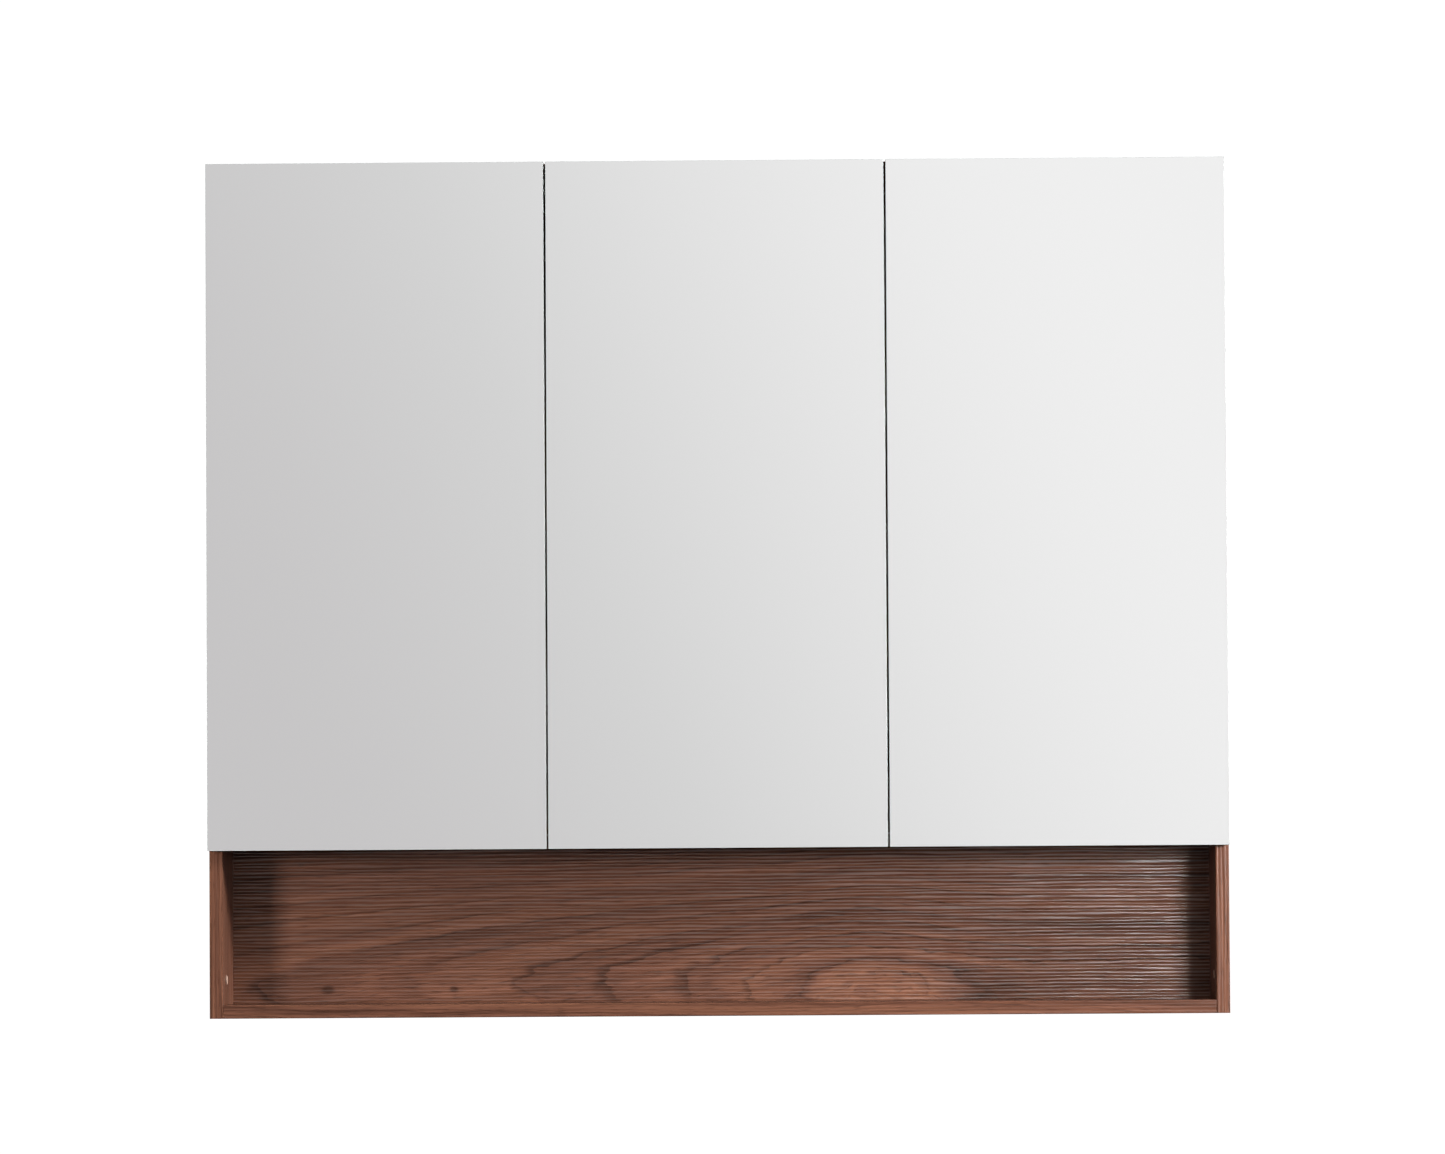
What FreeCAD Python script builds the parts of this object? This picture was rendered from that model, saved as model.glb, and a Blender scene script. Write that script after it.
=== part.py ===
"""Hanging mirror cabinet: three mirrored doors over an open shelf, walnut laminate on 12 mm board.

X runs to the right, Y towards the wall and Z up, in millimetres. The origin is the centre of the
four wall screw holes, on the wall's surface. Inside this file heights are counted from the
cabinet's underside, and save() moves every piece down by hang_height at the end.
"""
import FreeCAD
import Part
import math
import os

Vector = FreeCAD.Vector

# Overall sizes
cabinet_width = 900.0
cabinet_height = 755.0
cabinet_depth = 150.0

# Boards
board = 12.0                # carcass boards
edge_band = 1.0             # band glued on each front edge
band_radius = 0.8           # rounding of the band's two long edges
back_board = 3.0            # thin back behind the doors
back_groove = 4.5           # how far the thin back sits in the boards around it
groove_clearance = 0.2
rail_height = 60.0          # wall rails behind the thin back
rail_board = 12.0
niche_back_board = 12.0
niche_back_recess = 2.0     # the niche's back stands this far off the wall
niche_height = 149.0        # clear height of the open shelf, floor to ceiling

# Doors
door_count = 3
door_gap = 1.8              # between neighbouring doors
door_board = 15.0
mirror_glass = 4.0
mirror_bevel = 0.3
door_edge_radius = 0.5
bumper_gap = 2.0            # closed door to carcass
finger_drop = 13.0          # doors hang below the compartment floor, as a finger pull
bumper_radius = 4.0
bumper_crown = 0.8          # rounding of its top
bumper_clearance = 0.3
bumper_inset = 6.0          # bumper centre from the door's free edge
bumper_end_inset = 30.0     # and from its top and bottom edges

# Shelves behind the doors
shelves_per_bay = 2
shelf_glass = 5.0
shelf_side_clearance = 2.0
shelf_back_clearance = 2.0
shelf_setback = 12.0        # front edge of the shelf behind the carcass front
shelf_bevel = 0.6
pin_radius = 2.5
pin_web = 1.0               # board left between two pins that face each other
pin_reach = 8.0
pin_collar_radius = 4.5
pin_collar = 1.5
pin_inset = 15.0            # pin centre from the shelf's front and back edges

# Knock-down fittings
fit_clearance = 0.05        # radial, round hardware in its hole
cam_radius = 6.0
cam_floor = 2.5             # board left under a cam
cam_distance = 24.0         # cam centre from the joined board
cam_bolt_radius = 2.5
cam_bolt_head_radius = 2.9
cam_bolt_head = 1.6
cam_bolt_hold = 8.0         # thread length in the side panel
cam_bolt_head_room = 0.1    # radial, head in its bore
cam_bolt_end_room = 0.2     # past the end of a cam bolt
cam_cross = 8.4
cam_cross_depth = 1.5
dowel_radius = 3.0
dowel_length = 24.0
dowel_hold = 8.0            # length in the face of a board, the rest is in the other's end
fitting_front_inset = 28.0  # front cams and screws, from the carcass front
fitting_rear_inset = 22.0   # rear ones, from the thin back
screw_radius = 2.0
screw_head_radius = 3.8
screw_head = 2.2
screw_cross = 3.8
screw_cross_depth = 1.2
cross_width = 0.8           # arms of a crossed recess
screw_tip = 2.0
screw_tip_radius = 0.4
partition_screw = 40.0
rail_dowel_inset = 12.0     # rail dowels from the rail's top and bottom edges
niche_dowel_inset = 30.0

# Cap over the linking-screw hole, in each side panel at the open shelf
cap_radius = 4.0
cap_head = 1.0
cap_crown = 0.6
cap_stem_radius = 2.5
cap_stem = 6.0
cap_height = 22.0           # above the open shelf's floor
cap_setback = 36.0

# Wall fixing
wall_hole_radius = 3.0
wall_hole_spacing = 600.0

# Concealed hinges. Pivots are given from the door's hinged edge (u) and from the carcass front (v).
hinges_per_door = 2
hinge_end_inset = 85.0      # hinge centre from the door's top and bottom edges
arm_pivot_u = 24.0
arm_pivot_v = -14.0
cup_pivot_u = 8.5
cup_pivot_v = 9.8
pivot_pin_radius = 1.5
link_width = 10.0
link_plate = 1.5
link_bend = 1.0
cup_eye_radius = 2.8
arm_eye_radius = 3.6
cup_radius = 17.5
cup_edge = 3.5              # cup bore to the door's edge
cup_depth = 12.0
cup_wall = 1.0
cup_floor = 0.8
flange_plate = 0.8
flange_length = 56.0
flange_front = 5.0          # flange past the cup's centre, towards the hinged edge
flange_rear = 16.0
flange_corner = 4.0
flange_rim = 1.2            # round rim that covers the cup bore's edge
cup_screw_offset = 9.5
cup_screw_spacing = 45.0
cup_screw = 11.0
ear_clearance = 0.3         # link to the arm's ears, each side
ear_plate = 1.5
ear_radius = 4.5
arm_pin_overhang = 0.3      # each end, outside the ears
web_plate = 1.5
web_u = 28.4
web_front_v = -19.5
arm_rear_v = -75.0
arm_foot_u = 18.0
plate_base = 2.0
plate_front_v = -30.0
plate_rear_v = -62.0
plate_wing_length = 48.0
plate_wing_width = 12.0
plate_wing_corner = 5.5
plate_shoulder = 2.0        # base past the raised body, each side
plate_hole_setback = 37.0
plate_hole_spacing = 32.0
plate_screw = 9.0
plate_clearance = 0.5       # plate's body to the arm around it
arm_screw_setbacks = (26.0, 66.0)
arm_screw_radius = 2.5
arm_screw_head_radius = 3.6
arm_screw_head = 1.8
arm_screw_cross = 4.3
arm_screw_cross_depth = 1.2
arm_screw_rear_u = 27.0     # tip of the adjusting screws

# Working values
overcut = 1.0               # how far a cutting tool runs past the surface that it cuts
beyond = 100.0              # past every face of a hinge piece
near = 0.01                 # two places closer than this are the same

# Values that follow from the ones above
half_width = cabinet_width / 2
carcass_depth = cabinet_depth - mirror_glass - door_board - bumper_gap
front_y = -carcass_depth
board_front_y = front_y + edge_band
inner_half = half_width - board
pin_depth = (board - pin_web) / 2
cam_depth = board - cam_floor
inner_width = cabinet_width - 2 * board
floor_top = board
divider_low = floor_top + niche_height
divider_top = divider_low + board
top_low = cabinet_height - board
bay_height = top_low - divider_top
back_front_y = -rail_board - back_board
niche_back_front_y = -niche_back_recess - niche_back_board
door_width = (cabinet_width - (door_count - 1) * door_gap) / door_count
door_pitch = door_width + door_gap
door_low = divider_low - finger_drop
door_high = cabinet_height
door_inner_y = front_y - bumper_gap
mirror_back_y = door_inner_y - door_board
partition_xs = [-half_width + door_width * i + door_gap * (i - 0.5) for i in range(1, door_count)]
upper_hole_z = top_low - rail_height / 2
lower_hole_z = divider_top + rail_height / 2
hang_height = (upper_hole_z + lower_hole_z) / 2
hinge_zs = [door_low + hinge_end_inset, door_high - hinge_end_inset]
cup_centre_u = cup_edge + cup_radius
shelf_zs = [divider_top + bay_height * i / (shelves_per_bay + 1) for i in range(1, shelves_per_bay + 1)]
fitting_ys = [front_y + fitting_front_inset, back_front_y - fitting_rear_inset]
dowel_y = sum(fitting_ys) / 2
shelf_front_y = front_y + shelf_setback
shelf_back_y = back_front_y - shelf_back_clearance
pin_ys = [shelf_front_y + pin_inset, shelf_back_y - pin_inset]


def box(x_range, y_range, z_range):
    """A box between two values on each axis."""
    low = Vector(x_range[0], y_range[0], z_range[0])
    return Part.makeBox(x_range[1] - x_range[0], y_range[1] - y_range[0], z_range[1] - z_range[0], low)


def rod(radius, start, direction, length):
    """A round bar from start, along direction."""
    return Part.makeCylinder(radius, length, Vector(*start), Vector(*direction))


def screw_shape(start, direction, length, extra):
    """A countersunk screw, or with extra the hole for it: start is the middle of its head's top."""
    origin = Vector(*start)
    along = Vector(*direction)
    shank = Part.makeCylinder(screw_radius + extra, length + extra, origin, along)
    head = Part.makeCone(screw_head_radius + extra, screw_radius + extra, screw_head, origin, along)
    tip_start = origin + along * (length + extra)
    tip = Part.makeCone(screw_radius + extra, screw_tip_radius, screw_tip, tip_start, along)
    return shank.fuse([head, tip]).removeSplitter()


def cross_slot(start, direction, size, depth):
    """The crossed recess in a screw's head, as a solid to cut away."""
    along = Vector(*direction)
    side = Vector(1, 0, 0) if along.z else Vector(0, 0, 1)
    other = along.cross(side)
    arms = []
    for arm, across in ((side, other), (other, side)):
        corner = Vector(*start) - arm * size / 2 - across * cross_width / 2
        wire = Part.makePolygon([
            corner,
            corner + arm * size,
            corner + arm * size + across * cross_width,
            corner + across * cross_width,
            corner,
        ])
        arms.append(Part.Face(wire).extrude(along * depth))
    return arms[0].fuse(arms[1])


def screw(start, direction, length):
    """A countersunk screw with its crossed recess."""
    recess = cross_slot(start, direction, screw_cross, screw_cross_depth)
    return screw_shape(start, direction, length, 0).cut(recess)


def screw_hole(start, direction, length):
    """The countersunk hole for a screw."""
    return screw_shape(start, direction, length, fit_clearance)


def edges_where(shape, test):
    """The edges whose two ends both pass the test."""
    chosen = []
    for edge in shape.Edges:
        if len(edge.Vertexes) == 2 and all(test(v.Point) for v in edge.Vertexes):
            chosen.append(edge)
    return chosen


def edges_along(axis, edges):
    """The edges that run along an axis, out of those given."""
    return [edge for edge in edges if abs(getattr(edge.tangentAt(edge.FirstParameter), axis)) > 1 - near]


def save(node, solids):
    """Write a node's solids, moved so that the wall screw pattern's centre is the origin."""
    shape = solids[0] if len(solids) == 1 else Part.makeCompound(solids)
    moved = shape.copy()
    moved.translate(Vector(0, 0, -hang_height))
    moved.exportStep("parts/" + node + ".step")


# Where the fittings are, so that a board and its hardware share one list

def cross_board_levels():
    """Middle heights of the boards that run from side to side, with the cams' open side."""
    return [
        (board / 2, -1),
        (divider_low + board / 2, 1),
        (top_low + board / 2, -1),
    ]


def side_dowel_spots():
    """Height and depth of every dowel in a side panel's face."""
    spots = [(level, dowel_y) for level, _ in cross_board_levels()]
    for rail_middle in (lower_hole_z, upper_hole_z):
        for way in (-1, 1):
            spots.append((rail_middle + way * (rail_height / 2 - rail_dowel_inset), -rail_board / 2))
    niche_back_y = niche_back_front_y + niche_back_board / 2
    spots.append((floor_top + niche_dowel_inset, niche_back_y))
    spots.append((divider_low - niche_dowel_inset, niche_back_y))
    return spots


def bay_limits():
    """Left and right inner face of each bay behind a door."""
    walls = [-inner_half]
    for x in partition_xs:
        walls += [x - board / 2, x + board / 2]
    walls.append(inner_half)
    return [(walls[i], walls[i + 1]) for i in range(0, len(walls), 2)]


def pin_spots():
    """Every shelf pin: the wall it stands in, the way it points, its depth and its height."""
    spots = []
    for left, right in bay_limits():
        for shelf_z in shelf_zs:
            for y in pin_ys:
                spots.append((left, 1, y, shelf_z - pin_radius))
                spots.append((right, -1, y, shelf_z - pin_radius))
    return spots


def wall_holes(y_low, y_high):
    """The four wall screw holes as rods, through a board between two depths."""
    holes = []
    for x in (-wall_hole_spacing / 2, wall_hole_spacing / 2):
        for z in (lower_hole_z, upper_hole_z):
            length = y_high - y_low + 2 * overcut
            holes.append(rod(wall_hole_radius, (x, y_low - overcut, z), (0, 1, 0), length))
    return holes


# A hinge is drawn for a door hinged on its left: x is u, y is -v and z is 0 at the hinge's middle.

def doors():
    """Each door: name, left edge, hinged edge, side the hinge opens to and its wall's face u."""
    lefts = [-half_width + door_pitch * i for i in range(door_count)]
    partition_face = (board - door_gap) / 2
    return [
        ("left", lefts[0], lefts[0], 1, board),
        ("middle", lefts[1], lefts[1], 1, partition_face),
        ("right", lefts[2], lefts[2] + door_width, -1, board),
    ]


def placed(shape, hinged_edge, hand, z):
    """A hinge piece moved to its door, and mirrored for a door that is hinged on its right."""
    if hand < 0:
        shape = shape.mirror(Vector(0, 0, 0), Vector(1, 0, 0))
    moved = shape.copy()
    moved.translate(Vector(hinged_edge, front_y, z))
    return moved


def hinge_set(make, door):
    """One door's copies of a hinge piece, at each hinge height."""
    _, _, hinged_edge, hand, wall_u = door
    pieces = make(wall_u)
    return [placed(piece, hinged_edge, hand, z) for z in hinge_zs for piece in pieces]


def cup_bore():
    """The round recess for the cup, in the door's inner face."""
    start = (cup_centre_u, -bumper_gap + overcut, 0)
    return rod(cup_radius, start, (0, -1, 0), cup_depth + overcut)


def cup_screw_spots(_wall_u):
    """The two screws that hold the cup's flange to the door: start, direction and length."""
    u = cup_centre_u + cup_screw_offset
    y = -bumper_gap + flange_plate
    return [((u, y, way * cup_screw_spacing / 2), (0, -1, 0), cup_screw) for way in (-1, 1)]


def cup_screws(wall_u):
    """The cup's screws."""
    return [screw(*spot) for spot in cup_screw_spots(wall_u)]


def cup_pin(_wall_u):
    """The pin across the cup that the link turns on, its ends in the cup's wall."""
    far_side = cup_centre_u - cup_pivot_u + pivot_pin_radius
    half = math.sqrt((cup_radius - fit_clearance) ** 2 - far_side ** 2)
    return [rod(pivot_pin_radius, (cup_pivot_u, -cup_pivot_v, -half), (0, 0, 1), 2 * half)]


def hinge_cup(_wall_u):
    """The pressed cup with its screw flange."""
    inner_y = -bumper_gap
    shell_radius = cup_radius - fit_clearance
    shell = rod(shell_radius, (cup_centre_u, inner_y, 0), (0, -1, 0), cup_depth - fit_clearance)
    plate = box(
        (cup_centre_u - flange_front, cup_centre_u + flange_rear),
        (inner_y, inner_y + flange_plate),
        (-flange_length / 2, flange_length / 2),
    )
    corners = edges_where(plate, lambda p: abs(p.z) > flange_length / 2 - near)
    plate = plate.makeFillet(flange_corner, edges_along("y", corners))
    rim = rod(cup_radius + flange_rim, (cup_centre_u, inner_y, 0), (0, 1, 0), flange_plate)
    rim = rim.common(box((cup_centre_u - flange_front, beyond), (-beyond, beyond), (-beyond, beyond)))
    cavity_depth = cup_depth - cup_floor + flange_plate
    cavity_start = (cup_centre_u, inner_y + flange_plate, 0)
    cavity = rod(shell_radius - cup_wall, cavity_start, (0, -1, 0), cavity_depth)
    pin_start = (cup_pivot_u, -cup_pivot_v, -beyond)
    pin_hole = rod(pivot_pin_radius + fit_clearance, pin_start, (0, 0, 1), 2 * beyond)
    screws = [screw_hole(*spot) for spot in cup_screw_spots(0)]
    cup = shell.fuse([plate, rim]).cut([cavity, pin_hole] + screws)
    return [cup.removeSplitter()]


def hinge_link(_wall_u):
    """The cranked link: an eye in the cup, a strip over the cup's rim and a leg to the arm's pin."""
    low = -link_width / 2
    up = (0, 0, 1)
    strip_top_v = cup_pivot_v + cup_eye_radius
    strip_low_v = strip_top_v - link_plate
    leg_left_u = arm_pivot_u - arm_eye_radius
    leg_right_u = leg_left_u + link_plate
    bend_u = leg_left_u - link_bend
    bend_v = strip_low_v - link_bend
    cup_eye = rod(cup_eye_radius, (cup_pivot_u, -cup_pivot_v, low), up, link_width)
    arm_eye = rod(arm_eye_radius, (arm_pivot_u, -arm_pivot_v, low), up, link_width)
    z_range = (low, -low)
    strip = box((cup_pivot_u, bend_u), (-strip_top_v, -strip_low_v), z_range)
    leg = box((leg_left_u, leg_right_u), (-bend_v, -arm_pivot_v), z_range)
    bend_box = box((bend_u, leg_right_u), (-strip_top_v, -bend_v), z_range)
    bend = rod(link_bend + link_plate, (bend_u, -bend_v, low), up, link_width)
    bend = bend.cut(rod(link_bend, (bend_u, -bend_v, low), up, link_width)).common(bend_box)
    link = cup_eye.fuse([strip, bend, leg, arm_eye]).removeSplitter()
    bore = pivot_pin_radius + fit_clearance
    holes = [
        rod(bore, (cup_pivot_u, -cup_pivot_v, -beyond), up, 2 * beyond),
        rod(bore, (arm_pivot_u, -arm_pivot_v, -beyond), up, 2 * beyond),
    ]
    return [link.cut(holes)]


def arm_pin(_wall_u):
    """The pin through the arm's ears."""
    length = link_width + 2 * (ear_clearance + ear_plate + arm_pin_overhang)
    return [rod(pivot_pin_radius, (arm_pivot_u, -arm_pivot_v, -length / 2), (0, 0, 1), length)]


def arm_screws(_wall_u):
    """The arm's fixing screw and its overlay screw, heads outside the web."""
    screws = []
    web_face = web_u + web_plate
    for setback in arm_screw_setbacks:
        start = (web_face + arm_screw_head, setback, 0)
        head = rod(arm_screw_head_radius, start, (-1, 0, 0), arm_screw_head)
        shank = rod(arm_screw_radius, start, (-1, 0, 0), start[0] - arm_screw_rear_u)
        recess = cross_slot(start, (-1, 0, 0), arm_screw_cross, arm_screw_cross_depth)
        screws.append(head.fuse(shank).cut(recess).removeSplitter())
    return screws


def hinge_arm(_wall_u):
    """The channel-shaped arm: two ears and the web that joins them."""
    inner = link_width / 2 + ear_clearance
    outer = inner + ear_plate
    web_face = web_u + web_plate
    outline = Part.makePolygon([
        Vector(web_face, -arm_rear_v, 0),
        Vector(web_face, -web_front_v, 0),
        Vector(arm_pivot_u + ear_radius, -arm_pivot_v, 0),
        Vector(arm_pivot_u - ear_radius, -arm_pivot_v, 0),
        Vector(arm_foot_u, -plate_front_v, 0),
        Vector(arm_foot_u, -arm_rear_v, 0),
        Vector(web_face, -arm_rear_v, 0),
    ])
    side = Part.Face(outline).extrude(Vector(0, 0, 2 * outer))
    side.translate(Vector(0, 0, -outer))
    nose = rod(ear_radius, (arm_pivot_u, -arm_pivot_v, -outer), (0, 0, 1), 2 * outer)
    channel = side.fuse(nose).removeSplitter()
    hollow = [
        box((0, web_u), (0, beyond), (-inner, inner)),
        box((0, beyond), (0, -web_front_v), (-inner, inner)),
        rod(pivot_pin_radius + fit_clearance, (arm_pivot_u, -arm_pivot_v, -beyond), (0, 0, 1), 2 * beyond),
    ]
    for setback in arm_screw_setbacks:
        start = (web_u - overcut, setback, 0)
        length = web_plate + 2 * overcut
        hollow.append(rod(arm_screw_radius + fit_clearance, start, (1, 0, 0), length))
    return [channel.cut(hollow)]


def plate_screw_spots(wall_u):
    """The two screws that hold the mounting plate to its panel."""
    u = wall_u + plate_base
    return [
        ((u, plate_hole_setback, way * plate_hole_spacing / 2), (-1, 0, 0), plate_screw)
        for way in (-1, 1)
    ]


def plate_screws(wall_u):
    """The mounting plate's screws."""
    return [screw(*spot) for spot in plate_screw_spots(wall_u)]


def mounting_plate(wall_u):
    """The cross-shaped mounting plate, with the raised body that the arm sits over."""
    inner = link_width / 2 + ear_clearance - plate_clearance
    base_u = (wall_u, wall_u + plate_base)
    spine_z = (-inner - plate_shoulder, inner + plate_shoulder)
    spine = box(base_u, (-plate_front_v, -plate_rear_v), spine_z)
    wing_y = (plate_hole_setback - plate_wing_width / 2, plate_hole_setback + plate_wing_width / 2)
    wings = box(base_u, wing_y, (-plate_wing_length / 2, plate_wing_length / 2))
    wing_ends = edges_where(wings, lambda p: abs(p.z) > plate_wing_length / 2 - near)
    wings = wings.makeFillet(plate_wing_corner, edges_along("x", wing_ends))
    body_u = (wall_u, arm_screw_rear_u - plate_clearance)
    body = box(body_u, (-plate_front_v, -plate_rear_v), (-inner, inner))
    plate = spine.fuse([wings, body]).removeSplitter()
    return [plate.cut([screw_hole(*spot) for spot in plate_screw_spots(wall_u)])]


def screw_holes(spots, door):
    """Holes for one door's hinge screws, in the board that they are driven into."""
    _, _, hinged_edge, hand, wall_u = door
    holes = [screw_hole(*spot) for spot in spots(wall_u)]
    return [placed(hole, hinged_edge, hand, z) for z in hinge_zs for hole in holes]


# Carcass boards

def side_panel(side):
    """A full-height side panel, side -1 on the left and 1 on the right, with its drilling."""
    inner = side * inner_half
    into = (side, 0, 0)
    x_range = sorted((inner, side * half_width))
    panel = box(x_range, (board_front_y, 0), (0, cabinet_height))
    tools = []
    for z, y in side_dowel_spots():
        tools.append(rod(dowel_radius + fit_clearance, (inner, y, z), into, dowel_hold + fit_clearance))
    for z, _ in cross_board_levels():
        for y in fitting_ys:
            bore = cam_bolt_hold + cam_bolt_end_room
            tools.append(rod(cam_bolt_radius + fit_clearance, (inner, y, z), into, bore))
    for wall, way, y, z in pin_spots():
        if abs(wall - inner) < near:
            tools.append(rod(pin_radius + fit_clearance, (inner, y, z), into, pin_depth + fit_clearance))
    cap_start = (inner, front_y + cap_setback, floor_top + cap_height)
    tools.append(rod(cap_stem_radius + fit_clearance, cap_start, into, cap_stem + fit_clearance))
    groove_x = sorted((inner, inner + side * (back_groove + groove_clearance)))
    tools.append(back_channel(groove_x, (divider_top - back_groove, top_low + back_groove)))
    for door in doors():
        if door[4] == board and door[3] == -side:
            tools += screw_holes(plate_screw_spots, door)
    return panel.cut(tools)


def back_channel(x_range, z_range):
    """The groove for the thin back, over a given width and height."""
    y_range = (back_front_y - groove_clearance / 2, -rail_board + groove_clearance / 2)
    z_low = z_range[0] - groove_clearance
    z_high = z_range[1] + groove_clearance
    return box(x_range, y_range, (z_low, z_high))


def cam_pockets(level, opening):
    """Cam housings and bolt bores in a cross board, with the end dowels' bores."""
    tools = []
    for side in (-1, 1):
        inner = side * inner_half
        outward = (-side, 0, 0)
        bore = dowel_length - dowel_hold + fit_clearance
        tools.append(rod(dowel_radius + fit_clearance, (inner, dowel_y, level), outward, bore))
        for y in fitting_ys:
            centre_x = inner - side * cam_distance
            face = level + opening * board / 2
            pocket = cam_depth + fit_clearance
            tools.append(rod(cam_radius + fit_clearance, (centre_x, y, face), (0, 0, -opening), pocket))
            head_bore = cam_bolt_head_radius + cam_bolt_head_room
            tools.append(rod(head_bore, (inner, y, level), outward, cam_distance))
    return tools


def cross_board(level_index):
    """A board between the side panels: 0 is the open shelf's floor, 1 the divider, 2 the top."""
    level, opening = cross_board_levels()[level_index]
    z_range = (level - board / 2, level + board / 2)
    panel = box((-inner_half, inner_half), (board_front_y, 0), z_range)
    tools = cam_pockets(level, opening)
    groove_x = (-inner_half - overcut, inner_half + overcut)
    if level_index == 1:
        tools.append(back_channel(groove_x, (divider_top - back_groove, divider_top + overcut)))
        for x in partition_xs:
            for y in fitting_ys:
                start = (x, y, divider_top)
                depth = dowel_hold + fit_clearance
                tools.append(rod(dowel_radius + fit_clearance, start, (0, 0, -1), depth))
    if level_index == 2:
        tools.append(back_channel(groove_x, (top_low - overcut, top_low + back_groove)))
        tools += [screw_hole(*spot) for spot in partition_screw_spots()]
    return panel.cut(tools)


def partition_screw_spots():
    """Screws down through the top into each partition."""
    return [
        ((x, y, cabinet_height), (0, 0, -1), partition_screw)
        for x in partition_xs for y in fitting_ys
    ]


def partition(index):
    """An upright between two bays."""
    x = partition_xs[index]
    x_range = (x - board / 2, x + board / 2)
    panel = box(x_range, (board_front_y, back_front_y), (divider_top, top_low))
    tools = []
    bore = dowel_length - dowel_hold + fit_clearance
    for y in fitting_ys:
        tools.append(rod(dowel_radius + fit_clearance, (x, y, divider_top), (0, 0, 1), bore))
    for wall, way, y, z in pin_spots():
        if abs(wall - x) < board:
            start = (wall, y, z)
            tools.append(rod(pin_radius + fit_clearance, start, (-way, 0, 0), pin_depth + fit_clearance))
    tools += [screw_hole(*spot) for spot in partition_screw_spots() if abs(spot[0][0] - x) < board]
    for door in doors():
        wall_x = door[2] + door[3] * door[4]
        if abs(wall_x - x) < board:
            tools += screw_holes(plate_screw_spots, door)
    return panel.cut(tools)


def front_band(x_range, z_range):
    """A band on a board's front edge, its long front edges rounded."""
    band = box(x_range, (front_y, board_front_y), z_range)
    grain = "z" if z_range[1] - z_range[0] > x_range[1] - x_range[0] else "x"
    front = edges_where(band, lambda p: p.y < front_y + near)
    return band.makeFillet(band_radius, edges_along(grain, front))


def side_bands():
    """Front bands of both side panels, running the full height."""
    height = (0, cabinet_height)
    return [front_band((-half_width, -inner_half), height), front_band((inner_half, half_width), height)]


def partition_bands():
    """Front bands of the partitions."""
    return [front_band((x - board / 2, x + board / 2), (divider_top, top_low)) for x in partition_xs]


def cross_band(level_index):
    """Front band of a cross board."""
    level, _ = cross_board_levels()[level_index]
    return front_band((-inner_half, inner_half), (level - board / 2, level + board / 2))


def thin_back():
    """The thin back behind the bays, held in grooves, with the wall screws' holes."""
    reach = inner_half + back_groove
    z_range = (divider_top - back_groove, top_low + back_groove)
    panel = box((-reach, reach), (back_front_y, -rail_board), z_range)
    return panel.cut(wall_holes(back_front_y, -rail_board))


def wall_rail(middle_z):
    """A rail across the back that the wall screws go through."""
    z_range = (middle_z - rail_height / 2, middle_z + rail_height / 2)
    rail = box((-inner_half, inner_half), (-rail_board, 0), z_range)
    tools = wall_holes(-rail_board, 0)
    tools += end_dowel_bores(middle_z, -rail_board / 2, rail_height / 2 - rail_dowel_inset)
    return rail.cut(tools)


def end_dowel_bores(middle_z, y, offset):
    """Bores in both ends of a board that stands between the side panels."""
    bores = []
    depth = dowel_length - dowel_hold + fit_clearance
    for side in (-1, 1):
        for way in (-1, 1):
            start = (side * inner_half, y, middle_z + way * offset)
            bores.append(rod(dowel_radius + fit_clearance, start, (-side, 0, 0), depth))
    return bores


def niche_back():
    """The open shelf's back, the same board as the carcass."""
    rear_y = -niche_back_recess
    panel = box((-inner_half, inner_half), (niche_back_front_y, rear_y), (floor_top, divider_low))
    middle = (floor_top + divider_low) / 2
    offset = niche_height / 2 - niche_dowel_inset
    return panel.cut(end_dowel_bores(middle, (niche_back_front_y + rear_y) / 2, offset))


# Hardware of the carcass

def dowels():
    """All wooden dowels."""
    pieces = []
    for side in (-1, 1):
        for z, y in side_dowel_spots():
            start = (side * (inner_half + dowel_hold), y, z)
            pieces.append(rod(dowel_radius, start, (-side, 0, 0), dowel_length))
    for x in partition_xs:
        for y in fitting_ys:
            start = (x, y, divider_top - dowel_hold)
            pieces.append(rod(dowel_radius, start, (0, 0, 1), dowel_length))
    return pieces


def cam_bolts():
    """Connecting bolts, screwed into the side panels and headed inside the cams."""
    pieces = []
    for side in (-1, 1):
        for level, _ in cross_board_levels():
            for y in fitting_ys:
                start = (side * (inner_half + cam_bolt_hold), y, level)
                length = cam_bolt_hold + cam_distance
                shank = rod(cam_bolt_radius, start, (-side, 0, 0), length)
                head_x = side * (inner_half - cam_distance + cam_bolt_head)
                head = rod(cam_bolt_head_radius, (head_x, y, level), (-side, 0, 0), cam_bolt_head)
                pieces.append(shank.fuse(head).removeSplitter())
    return pieces


def cam_locks():
    """Cam housings with a crossed drive and a bore for the bolt."""
    pieces = []
    for side in (-1, 1):
        for level, opening in cross_board_levels():
            for y in fitting_ys:
                centre_x = side * (inner_half - cam_distance)
                face = level + opening * board / 2
                start = (centre_x, y, face)
                down = (0, 0, -opening)
                cam = rod(cam_radius, start, down, cam_depth)
                bore_start = (centre_x - side * (cam_bolt_head + cam_bolt_end_room), y, level)
                bore_radius = cam_bolt_head_radius + cam_bolt_head_room
                bore = rod(bore_radius, bore_start, (side, 0, 0), cam_radius * 2)
                slot = cross_slot(start, down, cam_cross, cam_cross_depth)
                pieces.append(cam.cut([bore, slot]))
    return pieces


def shelf_pins():
    """Shelf pins with a collar against the wall."""
    pieces = []
    for wall, way, y, z in pin_spots():
        start = (wall - way * pin_depth, y, z)
        shank = rod(pin_radius, start, (way, 0, 0), pin_depth + pin_reach)
        collar = rod(pin_collar_radius, (wall, y, z), (way, 0, 0), pin_collar)
        pieces.append(shank.fuse(collar).removeSplitter())
    return pieces


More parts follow.
